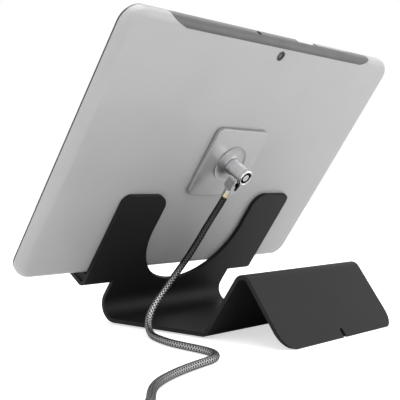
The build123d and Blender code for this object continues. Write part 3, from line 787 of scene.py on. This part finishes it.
chromeSet = {
    "dark": (0.84, 0.84, 0.85),
    "light": (0.93, 0.93, 0.94),
    "cloud": 0.005,
    "grain": 0.0006,
    "roughness": 0.22,
    "roughSpread": 0.03,
    "metallic": 1.0,
    "depth": 0.000006,
}
# Painted shade: the body is near black inside the keyway's outer wall
keywayShadeSet = {
    "color": (0.015, 0.015, 0.016),
    "from": 0.00375,  # distances from the lock's axis
    "to": 0.00355,
}
paint(lockMaterial("lockChrome", chromeSet, keywayShadeSet), "lock_body")
# Painted reflection and shade: the ears take a darker grey for the dark things they mirror, and the far
# ear is painted near black as shade
earSet = {
    "color": (0.42, 0.42, 0.43),
    "from": 0.0056,
    "to": 0.0076,
    "farEarShade": (0.015, 0.015, 0.016),
    "farEdge": 0.001,
}
paint(lockMaterial("collarChrome", chromeSet, earSet), "swivel_collar")
plugSet = {
    "dark": (0.55, 0.55, 0.56),
    "light": (0.70, 0.70, 0.71),
    "cloud": 0.003,
    "grain": 0.0003,
    "roughness": 0.25,
    "metallic": 1.0,
    "depth": 0.00001,
}
# Painted shade: the plug is near black beyond its core, in the keyway's walls and floor
keywayFloorShadeSet = {
    "color": (0.015, 0.015, 0.016),
    "from": 0.00236,
    "to": 0.00243,
}
paint(lockMaterial("plugSteel", plugSet, keywayFloorShadeSet), "lock_plug")
fittingSet = {
    "dark": (0.44, 0.44, 0.445),
    "light": (0.56, 0.56, 0.565),
    "cloud": 0.003,
    "grain": 0.0004,
    "roughness": 0.26,
    "metallic": 1.0,
    "depth": 0.00001,
}
paint(grainyMaterial("fittingNickel", fittingSet), "cable_end")
steelSet = {
    "dark": (0.38, 0.38, 0.39),
    "light": (0.50, 0.50, 0.51),
    "cloud": 0.003,
    "grain": 0.0003,
    "roughness": 0.30,
    "metallic": 1.0,
    "depth": 0.00001,
}
paint(grainyMaterial("lockSteel", steelSet), "locking_bar", "slot_studs")
pinSet = {
    "dark": (0.36, 0.36, 0.365),
    "light": (0.44, 0.44, 0.445),
    "cloud": 0.002,
    "grain": 0.0003,
    "roughness": 0.32,
    "metallic": 1.0,
    "depth": 0.00001,
}
paint(grainyMaterial("pinSteel", pinSet), "clevis_pin")
brassSet = {
    "dark": (0.52, 0.47, 0.30),
    "light": (0.68, 0.62, 0.42),
    "cloud": 0.002,
    "grain": 0.0003,
    "roughness": 0.28,
    "metallic": 1.0,
    "depth": 0.00001,
}
paint(grainyMaterial("ferruleBrass", brassSet), "ferrule", "tumbler_pins")
crimpSet = {
    "dark": (0.50, 0.50, 0.51),
    "light": (0.62, 0.62, 0.63),
    "cloud": 0.003,
    "grain": 0.0004,
    "roughness": 0.38,
    "metallic": 1.0,
    "depth": 0.00002,
}
paint(grainyMaterial("crimpMetal", crimpSet), "crimp_sleeve")
print("lock painted")


# One for the kinds of ray named, zero for the rest
def seenOnly(tree, *kinds):
    path = tree.nodes.new("ShaderNodeLightPath")
    seen = path.outputs[kinds[0]]
    for kind in kinds[1:]:
        seen = calc(tree, "MAXIMUM", seen, path.outputs[kind])
    return seen


# Pale table under the stand
tableSet = {
    "dark": (0.882, 0.882, 0.882),
    "light": (0.90, 0.90, 0.90),
    "cloud": 0.3,
    "cloudDetail": 2.0,
    "roughness": 0.8,
    "specular": 0.2,
    "size": 6.0,
    "drop": 0.0002,  # a hair below the stand
    "lift": 0.62,  # white added for the camera alone
}


def makeTable(s):
    s = {**plainFinish, **s}
    half = s["size"] / 2
    mesh = bpy.data.meshes.new("paleTable")
    corners = [(-half, -half, 0), (half, -half, 0), (half, half, 0), (-half, half, 0)]
    mesh.from_pydata(corners, [], [(0, 1, 2, 3)])
    table = bpy.data.objects.new("paleTable", mesh)
    table.location.z = -s["drop"]
    bpy.context.scene.collection.objects.link(table)
    material, tree, shader = newMaterial("paleTable", s)
    cloud = grain(tree, objectPlace(tree), s["cloud"], s["cloudDetail"])
    color = ramp(tree, cloud, s["darkAt"], s["dark"], s["lightAt"], s["light"])
    tree.links.new(color, shader.inputs["Base Color"])
    # The camera sees the table lifted to white, with the object's shadow kept
    lift = calc(tree, "MULTIPLY", seenOnly(tree, "Is Camera Ray"), s["lift"])
    shader.inputs["Emission Color"].default_value = (*white, 1.0)
    tree.links.new(lift, shader.inputs["Emission Strength"])
    mesh.materials.append(material)


makeTable(tableSet)

# Soft light from all round, and a white background where it is seen or mirrored
skySet = {
    "sideColor": (0.74, 0.74, 0.74),
    "topColor": white,
    "topFrom": 0.9,
    "strength": 0.78,
}


def makeSky(s):
    world = bpy.data.worlds.new("studio")
    world.use_nodes = True
    tree = world.node_tree
    tree.nodes.clear()
    out = tree.nodes.new("ShaderNodeOutputWorld")
    where = tree.nodes.new("ShaderNodeTexCoord")
    height = split(tree, where.outputs["Generated"])["Z"]
    light = tree.nodes.new("ShaderNodeBackground")
    light.inputs["Strength"].default_value = s["strength"]
    color = ramp(tree, height, 0.0, s["sideColor"], s["topFrom"], s["topColor"])
    tree.links.new(color, light.inputs["Color"])
    seen = tree.nodes.new("ShaderNodeBackground")
    seen.inputs["Color"].default_value = (*white, 1.0)
    mix = tree.nodes.new("ShaderNodeMixShader")
    rays = seenOnly(tree, "Is Camera Ray", "Is Glossy Ray", "Is Transmission Ray")
    tree.links.new(rays, mix.inputs["Fac"])
    tree.links.new(light.outputs["Background"], mix.inputs[1])
    tree.links.new(seen.outputs["Background"], mix.inputs[2])
    tree.links.new(mix.outputs["Shader"], out.inputs["Surface"])
    bpy.context.scene.world = world


makeSky(skySet)

# Three square lamps, turned to the tablet's back
lampTarget = Vector((0.0, 0.02, 0.09))
lampSets = {
    "topLamp": {"place": (0.0, 0.2, 1.3), "size": 1.2, "power": 9.5},
    "sideLamp": {"place": (-0.65, 0.90, 0.30), "size": 0.8, "power": 2.0},
    "edgeLamp": {"place": (1.20, 0.05, 0.35), "size": 0.5, "power": 0.7},
}


def makeLamp(name, s):
    data = bpy.data.lights.new(name, "AREA")
    data.shape = "SQUARE"
    data.size = s["size"]
    data.energy = s["power"]
    lamp = bpy.data.objects.new(name, data)
    lamp.location = s["place"]
    lamp.rotation_mode = "QUATERNION"
    lamp.rotation_quaternion = (lampTarget - lamp.location).to_track_quat("-Z", "Y")
    bpy.context.scene.collection.objects.link(lamp)


for name, lampSet in lampSets.items():
    makeLamp(name, lampSet)
bpy.context.scene.view_settings.view_transform = "Standard"
print("studio lit")
